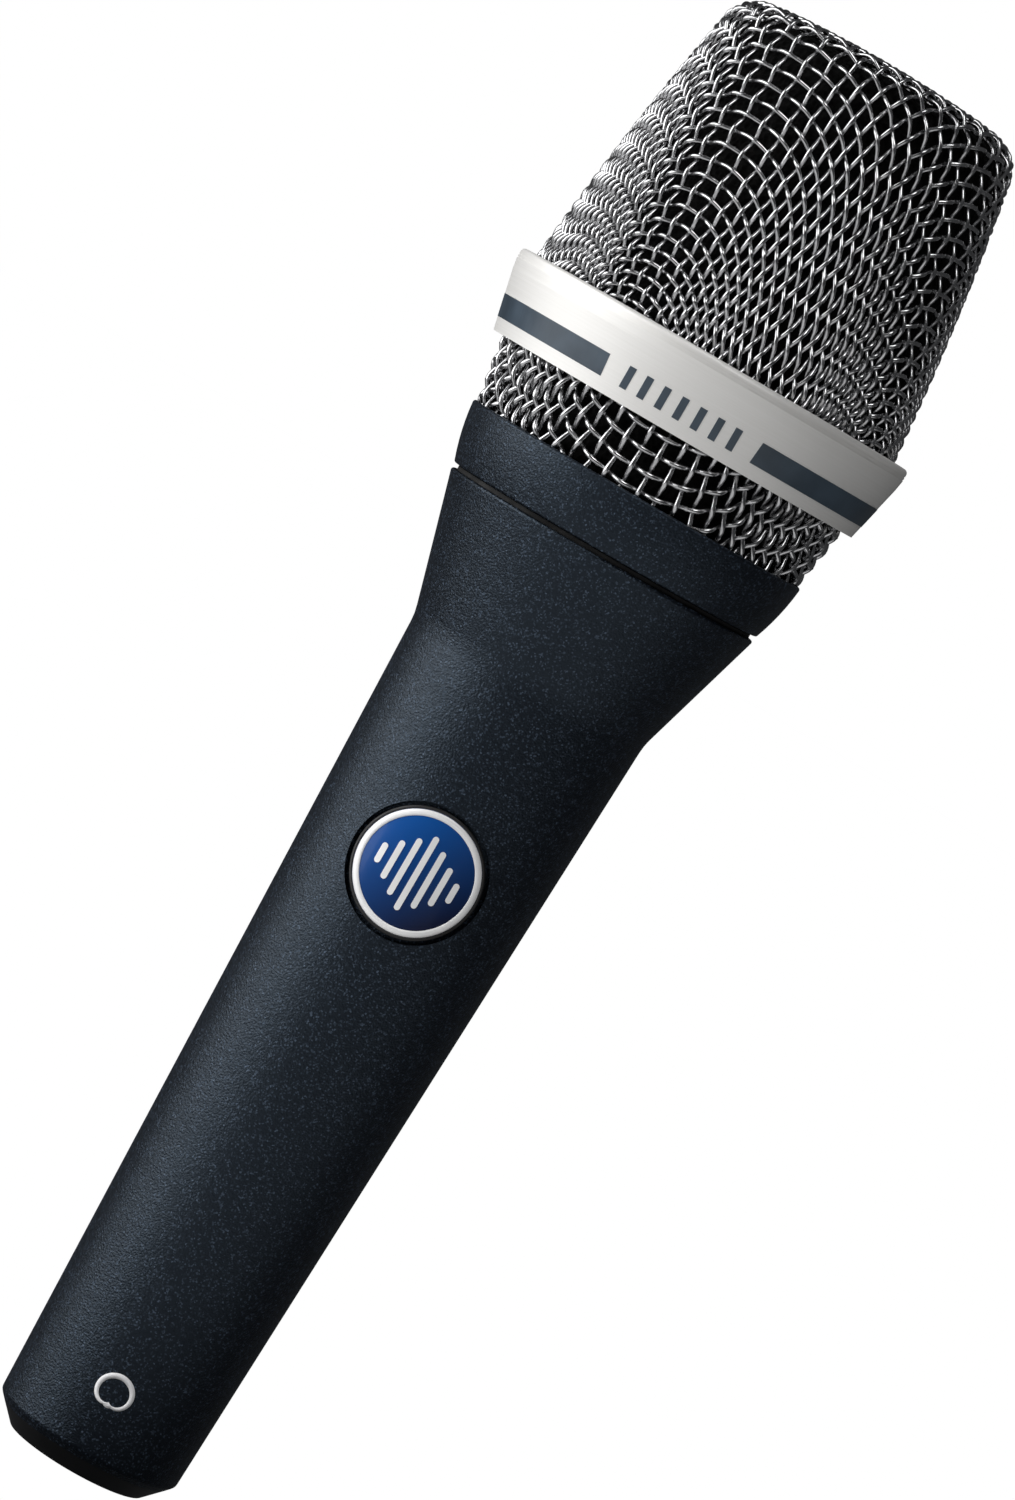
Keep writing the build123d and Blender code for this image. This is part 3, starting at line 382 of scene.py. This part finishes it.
class Meridian:
    """A curve beside the axis that a basket is turned from, measured along its length from the pole."""

    def __init__(self, points, start, outward):
        points = np.array(points)
        step = np.hypot(*np.diff(points, axis=0).T)
        self.length = start + np.concatenate([[0], np.cumsum(step)])
        self.radius, self.height = points.T
        along_r = np.gradient(self.radius, self.length)
        along_z = np.gradient(self.height, self.length)
        size = np.hypot(along_r, along_z)
        self.normal_r = -outward * along_z / size
        self.normal_z = outward * along_r / size

    def at(self, s):
        curves = (self.radius, self.height, self.normal_r, self.normal_z)
        return [np.interp(s, self.length, curve) for curve in curves]


class Cloth:
    """How flat woven cloth lies once it is drawn over a basket.

    Four times round, the wires run along and across the basket; between those places they cross as
    narrow diamonds. slope_square and slope_diamond are how much cloth lies on each millimetre of the
    meridian in the two places. gather draws the cloth together round the basket at the diamonds and
    spreads it at the squares, and gather_between draws it together half way between the two.
    """

    def __init__(self, meridian, slope_square, slope_diamond, gather, gather_between, square_turn):
        self.meridian = meridian
        self.s = np.linspace(meridian.length[0], meridian.length[-1], 400)
        self.square = self._integrate(slope_square)
        self.diamond = self._integrate(slope_diamond)
        self.gather = gather
        self.gather_between = gather_between
        self.square_turn = square_turn

    def _integrate(self, slope):
        values = np.array([slope(s) for s in self.s])
        steps = (values[1:] + values[:-1]) / 2 * np.diff(self.s)
        return self.s[0] + np.concatenate([[0], np.cumsum(steps)])

    def reach(self):
        return max(self.square[-1], self.diamond[-1])

    def place(self, u, v):
        """Distance along the meridian and turn round the axis of cloth points u, v."""
        rho = np.hypot(u, v)
        alpha = np.arctan2(v, u)
        phi = alpha.copy()
        s = rho.copy()
        for _ in range(40):
            weight = (1 - np.cos(4 * phi)) / 2
            low, high = np.full_like(s, self.s[0]), np.full_like(s, self.s[-1])
            for _ in range(18):
                middle = (low + high) / 2
                cloth = (1 - weight) * np.interp(middle, self.s, self.square)
                cloth += weight * np.interp(middle, self.s, self.diamond)
                low = np.where(cloth < rho, middle, low)
                high = np.where(cloth < rho, high, middle)
            s = (low + high) / 2
            pull, pull_between = self.gather(s) / 4, self.gather_between(s) / 8
            phi = alpha + pull * np.sin(4 * phi) + pull_between * np.sin(8 * phi)
        weight = (1 - np.cos(4 * phi)) / 2
        edge = (1 - weight) * self.square[-1] + weight * self.diamond[-1]
        start = (1 - weight) * self.square[0] + weight * self.diamond[0]
        return s, phi, (rho < edge) & (rho > start)


def ease(value):
    """0 below 0, 1 above 1, smooth between."""
    t = np.clip(value, 0, 1)
    return t * t * (3 - 2 * t)


def wire_tubes(lines, radius):
    """Closed tubes along lines. Each line is (points, surface normals), both N by 3."""
    points, faces, base = [], [], 0
    turns = np.arange(WIRE_SIDES) * 2 * math.pi / WIRE_SIDES
    for centre, normal in lines:
        tangent = np.gradient(centre, axis=0)
        tangent /= np.linalg.norm(tangent, axis=1)[:, None]
        side = np.cross(tangent, normal)
        side /= np.linalg.norm(side, axis=1)[:, None]
        up = np.cross(side, tangent)
        ring = np.cos(turns)[None, :, None] * up[:, None, :]
        ring = ring + np.sin(turns)[None, :, None] * side[:, None, :]
        points.append((centre[:, None, :] + radius * ring).reshape(-1, 3))
        count = len(centre)
        rows = base + np.arange(count - 1)[:, None] * WIRE_SIDES
        first = rows + np.arange(WIRE_SIDES)[None, :]
        second = rows + (np.arange(WIRE_SIDES)[None, :] + 1) % WIRE_SIDES
        quads = np.stack([first, second, second + WIRE_SIDES, first + WIRE_SIDES], axis=-1)
        faces.extend(quads.reshape(-1, 4).tolist())
        faces.append([base + i for i in reversed(range(WIRE_SIDES))])
        last = base + (count - 1) * WIRE_SIDES
        faces.append([last + i for i in range(WIRE_SIDES)])
        base += count * WIRE_SIDES
    return np.concatenate(points), faces


def weave(name, cloth, wire_radius, node, seed):
    """Both sets of wires of one basket, passing over and under each other."""
    draw = random.Random(seed)
    half = int(cloth.reach() / WIRE_PITCH) + 1
    step = WIRE_PITCH / STEPS_PER_PITCH
    along = np.arange(-half * STEPS_PER_PITCH, half * STEPS_PER_PITCH + 1) * step
    lines = []
    for family in (0, 1):
        for k in range(-half, half):
            across = (k + 0.5) * WIRE_PITCH
            wander = sum(
                draw.uniform(-0.035, 0.035) * np.sin(along * draw.uniform(0.08, 0.3) + draw.uniform(0, 6.3))
                for _ in range(3)
            )
            across = np.full_like(along, across) + wander
            u, v = (across, along) if family == 0 else (along, across)
            s, phi, inside = cloth.place(u, v)
            crimp = np.cos(np.pi * (along / WIRE_PITCH - 0.5)) * (-1) ** k * (1 if family == 0 else -1)
            r, z, normal_r, normal_z = cloth.meridian.at(s)
            turn = phi + cloth.square_turn
            lift = crimp * CRIMP * wire_radius
            r = r + lift * normal_r
            z = z + lift * normal_z
            centre = np.stack([r * np.sin(turn), -r * np.cos(turn), z], axis=1)
            normal = np.stack([normal_r * np.sin(turn), -normal_r * np.cos(turn), normal_z], axis=1)
            runs = np.flatnonzero(np.diff(np.concatenate([[0], inside.astype(int), [0]])))
            for begin, end in zip(runs[::2], runs[1::2]):
                if end - begin > 3:
                    lines.append((centre[begin:end], normal[begin:end]))
    points, faces = wire_tubes(lines, wire_radius)
    piece = make_object(name, points, faces, "grille", MATERIALS["wire_steel"])
    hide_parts(node)


def upper_basket():
    inset = CLOTH_THICKNESS / 2
    corner = CORNER_RADIUS - inset
    turns = np.radians(np.linspace(90, CORNER_END, 24))
    bend = [(CORNER_CENTRE + corner * math.cos(t), CORNER_HEIGHT + corner * math.sin(t)) for t in turns]
    crown = [(r, TOTAL_LENGTH - inset + (bend[0][1] - TOTAL_LENGTH + inset) * (r / CORNER_CENTRE) ** 2)
             for r in np.linspace(0, CORNER_CENTRE, 30)]
    side = arc_through(bend[-1], (SIDE_MIDDLE[0] - inset, SIDE_MIDDLE[1]), (SKIRT[0] - inset, SKIRT[1]), 60)
    path = crown + bend[1:] + side[1:] + [(SKIRT[0] - inset, SKIRT_BOTTOM)]
    meridian = Meridian(path, 0.0, 1)
    edge = CORNER_CENTRE + 2.5
    length = meridian.length[-1]

    cloth = Cloth(
        meridian,
        lambda s: 1 + 0.07 * ease((s - edge) / 4) + 0.35 * ease((s - length + 16) / 8),
        lambda s: 1 - 0.26 * ease((s - edge) / 8),
        lambda s: np.interp(s - edge, (-3, 5, 14, 20, 34), (0, 0.24, 0.45, 0.44, 0.25)),
        lambda s: np.interp(s - edge, (-3, 5, 14, 20, 34), (0, 0.08, 0.06, 0.08, 0.22)),
        UPPER_SQUARE_TURN,
    )
    weave("upper_basket_wires", cloth, UPPER_WIRE_RADIUS, "grille_upper_mesh", 7)


def lower_basket():
    inset = CLOTH_THICKNESS / 2
    path = arc_through(
        (LOWER_BOTTOM[0] - inset, LOWER_BOTTOM[1]),
        (LOWER_MIDDLE[0] - inset, LOWER_MIDDLE[1]),
        (LOWER_TOP[0] - inset, LOWER_TOP[1]),
        40,
    )
    meridian = Meridian(path, LOWER_START, -1)
    cloth = Cloth(
        meridian,
        lambda s: 1.0,
        lambda s: 0.88,
        lambda s: 0.28,
        lambda s: 0.72 - 1.05 * meridian.at(s)[0] / s,
        LOWER_SQUARE_TURN,
    )
    weave("lower_basket_wires", cloth, LOWER_WIRE_RADIUS, "grille_lower_mesh", 11)


upper_basket()
lower_basket()


# --- Foam lining -----------------------------------------------------------------------------------


def foam_lining():
    """The CAD foam, remeshed and roughened like cut open-cell foam."""
    mesh = frame["nodes"]["foam_windscreen"].data.copy()
    piece = bpy.data.objects.new("foam_lining", mesh)
    bpy.context.collection.objects.link(piece)
    remesh = piece.modifiers.new("remesh", "REMESH")
    remesh.mode = "VOXEL"
    remesh.voxel_size = 0.8 * MM
    texture = bpy.data.textures.new("foam_cells", "CLOUDS")
    texture.noise_scale = 1.6 * MM
    rough = piece.modifiers.new("rough", "DISPLACE")
    rough.texture = texture
    rough.texture_coords = "LOCAL"
    rough.strength = 0.35 * MM
    rough.mid_level = 0.8
    depsgraph = bpy.context.evaluated_depsgraph_get()
    piece.data = bpy.data.meshes.new_from_object(piece.evaluated_get(depsgraph))
    piece.modifiers.clear()
    piece.data.shade_smooth()
    piece.data.materials.clear()
    piece.data.materials.append(MATERIALS["foam_black"])
    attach(piece, "windscreen")
    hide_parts("foam_windscreen")


foam_lining()


# --- Neck thread -----------------------------------------------------------------------------------


def neck_thread():
    """A helical ridge on a thin sleeve, fading out at both ends."""
    segments = 96
    rows = []
    turns = (THREAD_TOP - THREAD_BOTTOM) / THREAD_PITCH
    profile_steps = 8
    count = int(turns * profile_steps)
    for row in range(count + 1):
        z = THREAD_BOTTOM + (THREAD_TOP - THREAD_BOTTOM) * row / count
        ring = []
        for i in range(segments):
            turn = 2 * math.pi * i / segments
            phase = (z - THREAD_BOTTOM) / THREAD_PITCH - i / segments
            tooth = min(1.0, max(0.0, 1.6 * abs(2 * (phase % 1.0) - 1) - 0.3))
            fade = min(1.0, min(row, count - row) / profile_steps)
            low = THREAD_ROOT + 0.08
            ring.append(around(low + (THREAD_CREST - low) * tooth * fade, turn, z))
        rows.append(ring)
    for inner_z in (THREAD_TOP, THREAD_BOTTOM):
        turns_round = [2 * math.pi * i / segments for i in range(segments)]
        rows.append([around(THREAD_ROOT - 0.2, turn, inner_z) for turn in turns_round])
    points = [p for ring in rows for p in ring]
    faces = []
    for a in range(len(rows)):
        b = (a + 1) % len(rows)
        for i in range(segments):
            j = (i + 1) % segments
            faces.append((a * segments + i, a * segments + j, b * segments + j, b * segments + i))
    piece = make_object("neck_thread", points, faces, "handle", MATERIALS["thread_metal"])
    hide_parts("neck_thread_ring")


neck_thread()


# --- Badge, printed band and printed glyph ---------------------------------------------------------


def raised_shape(name, outlines, place, low, high, body, material):
    """Thin raised shapes. place(a, b, depth) puts a flat point on the object; each outline is convex."""
    points, faces = [], []
    for outline in outlines:
        base, count = len(points), len(outline)
        for depth in (low, high):
            points.extend(place(a, b, depth) for a, b in outline)
        middle = (sum(a for a, _ in outline) / count, sum(b for _, b in outline) / count)
        points.append(place(*middle, low))
        points.append(place(*middle, high))
        for i in range(count):
            j = (i + 1) % count
            faces.append((base + i, base + j, base + count + j, base + count + i))
            faces.append((base + j, base + i, base + 2 * count))
            faces.append((base + count + i, base + count + j, base + 2 * count + 1))
    return make_object(name, points, faces, body, material, smooth=False)


def ring_shape(name, sections, place, body, material):
    """A closed ring from sections round it; each section is a closed list of (a, b, depth)."""
    count, size = len(sections), len(sections[0])
    points = [place(*p) for section in sections for p in section]
    faces = []
    for i in range(count):
        k = (i + 1) % count
        for j in range(size):
            m = (j + 1) % size
            faces.append((i * size + j, k * size + j, k * size + m, i * size + m))
    return make_object(name, points, faces, body, material)


def badge():
    """A black ring of painted shade in the gap round the badge, a bright rim round the enamel and a row of
    sound-level bars on it.
    """
    # edge is the profile of the ring of painted shade, sunk in the gap between the handle and the rim.
    edge = ((7.74, 0.8), (7.74, 0.2), (7.66, 0.12), (7.44, 0.12), (7.36, 0.2), (7.36, 0.8))
    rim = ((7.34, 0.8), (7.34, 0.2), (7.25, 0.1), (7.05, 0.04), (6.75, 0.06), (6.57, 0.14), (6.52, 0.8))
    for name, profile, material in (("badge_gap_shade_ring", edge, badge_gap_shade), ("badge_rim", rim, badge_metal)):
        sections = []
        for i in range(96):
            t = 2 * math.pi * i / 96
            c, s = math.cos(t), math.sin(t)
            sections.append([(r * c, BADGE_HEIGHT + r * s, depth) for r, depth in profile])
        ring_shape(name, sections, on_handle, "handle", material)
    bars = []
    for column, half_height in enumerate(BAR_HALF_HEIGHTS):
        x = (column - len(BAR_HALF_HEIGHTS) // 2) * BAR_SPACING
        ends = [(math.cos(t), math.sin(t)) for t in np.linspace(0, math.pi, 9)]
        ends = [(BAR_HALF_WIDTH * c, half_height + BAR_HALF_WIDTH * s) for c, s in ends]
        upper = [(x + a, BADGE_HEIGHT + b) for a, b in ends]
        lower = [(x - a, BADGE_HEIGHT - b) for a, b in ends]
        bars.append(upper + lower)
    raised_shape("badge_bars", bars, on_handle, 0.3, 0.12, "handle", badge_metal)


def on_band(turn_mm, z, depth):
    radius = band_radius(z)
    return around(radius - depth, turn_mm / radius, z)


def band_marks():
    """A dark stripe round the band, open at the front, with seven short strokes in the opening."""
    low_z, high_z = STRIPE_BOTTOM, STRIPE_TOP
    turns = np.linspace(STRIPE_START, STRIPE_END, 180)
    points, faces = [], []
    for turn in turns:
        for z, depth in ((low_z, 0.15), (low_z, -MARK_HEIGHT), (high_z, -MARK_HEIGHT), (high_z, 0.15)):
            points.append(around(band_radius(z) - depth, turn, z))
    for i in range(len(turns) - 1):
        for j in range(4):
            k = (j + 1) % 4
            faces.append((4 * i + j, 4 * i + 4 + j, 4 * i + 4 + k, 4 * i + k))
    faces.append((3, 2, 1, 0))
    faces.append(tuple(len(points) - 4 + i for i in range(4)))
    make_object("band_stripe", points, faces, "grille", band_print, smooth=False)
    strokes = []
    for column in range(STROKE_COUNT):
        middle = STROKE_SHIFT + (column - STROKE_COUNT // 2) * STROKE_SPACING
        left, right = middle - STROKE_HALF_WIDTH, middle + STROKE_HALF_WIDTH
        strokes.append([(left, low_z), (right, low_z), (right, high_z), (left, high_z)])
    raised_shape("band_strokes", strokes, on_band, 0.15, -MARK_HEIGHT, "grille", band_print)


def pattern_glyph():
    """A small printed pickup pattern near the socket: the heart-shaped curve of a cardioid."""
    low = GLYPH_HEIGHT - 0.85 * GLYPH_SIZE
    sections = []
    for i in range(96):
        t = 2 * math.pi * i / 96
        middle = max(GLYPH_CUSP, GLYPH_SIZE * (1 + math.sin(t)))
        outer, inner = middle + GLYPH_HALF_LINE, middle - GLYPH_HALF_LINE
        section = []
        for r, depth in ((outer, 0.1), (outer, -MARK_HEIGHT), (inner, -MARK_HEIGHT), (inner, 0.1)):
            section.append((r * math.cos(t), low + r * math.sin(t), depth))
        sections.append(section)
    ring_shape("handle_glyph", sections, on_handle, "handle", glyph_print)


badge()
band_marks()
pattern_glyph()


# --- Stage, light and camera -----------------------------------------------------------------------


def glow(name, colour, base, strength):
    """An evenly bright surface that takes a little of the lamps' light."""
    material = bpy.data.materials.new(name)
    material.use_nodes = True
    shader = material.node_tree.nodes["Principled BSDF"]
    shader.inputs["Base Color"].default_value = (base, base, base, 1)
    shader.inputs["Roughness"].default_value = 0.9
    shader.inputs["Specular IOR Level"].default_value = 0.0
    shader.inputs["Emission Color"].default_value = (*colour, 1)
    shader.inputs["Emission Strength"].default_value = strength
    return material


def studio():
    """A pale floor under a pale dome. They fill the view but don't light the object."""
    bpy.ops.mesh.primitive_circle_add(vertices=96, radius=3.5, fill_type="NGON", location=(0, 0, -0.0005))
    floor = bpy.context.object
    floor.name = "floor"
    floor.data.materials.append(glow("floor_pale", (1, 1, 1), 0.004, 1.0))
    bpy.ops.mesh.primitive_uv_sphere_add(segments=64, ring_count=32, radius=4)
    dome = bpy.context.object
    dome.name = "backdrop"
    dome.data.materials.append(glow("backdrop_pale", (1, 1, 1), 0.004, 1.0))
    for thing in (floor, dome):
        thing.visible_glossy = False
        thing.visible_diffuse = False
        thing.visible_shadow = False


def softbox(name, place, aim, size, energy):
    """A rectangular area light that faces a point. It doesn't show in the picture itself."""
    data = bpy.data.lights.new(name, "AREA")
    data.shape = "RECTANGLE"
    data.size, data.size_y = size
    data.energy = energy
    lamp = bpy.data.objects.new(name, data)
    lamp.location = place
    lamp.rotation_mode = "QUATERNION"
    lamp.rotation_quaternion = (Vector(aim) - Vector(place)).to_track_quat("-Z", "Y")
    lamp.visible_camera = False
    bpy.context.collection.objects.link(lamp)


def camera():
    eye = Vector((0, -0.7645, 0.13983))
    aim = Vector((0.0019, 0, 0.09603))
    span = 0.1722
    lean = math.radians(30.2)
    data = bpy.data.cameras.new("camera")
    data.sensor_width = 36
    data.lens = data.sensor_width * (aim - eye).length / span
    item = bpy.data.objects.new("camera", data)
    item.location = eye
    item.rotation_mode = "QUATERNION"
    item.rotation_quaternion = (aim - eye).to_track_quat("-Z", "Y") @ Quaternion((0, 0, 1), lean)
    bpy.context.collection.objects.link(item)
    bpy.context.scene.camera = item


studio()
softbox("key", (-0.89, -0.22, 0.25), (0, 0, 0.1), (1.1, 0.8), 10.4)
softbox("bounce", (0, -0.27, 0.001), (0, -0.27, 1), (0.6, 0.46), 0.56)
softbox("top", (0.1, -0.6, 1.0), (0, 0, 0.1), (0.5, 0.5), 3.4)
world = bpy.data.worlds.new("dim")
world.use_nodes = True
world.node_tree.nodes["Background"].inputs["Color"].default_value = (0.95, 0.97, 1.0, 1)
world.node_tree.nodes["Background"].inputs["Strength"].default_value = 0.05
bpy.context.scene.world = world
bpy.context.scene.view_settings.view_transform = "Standard"
camera()
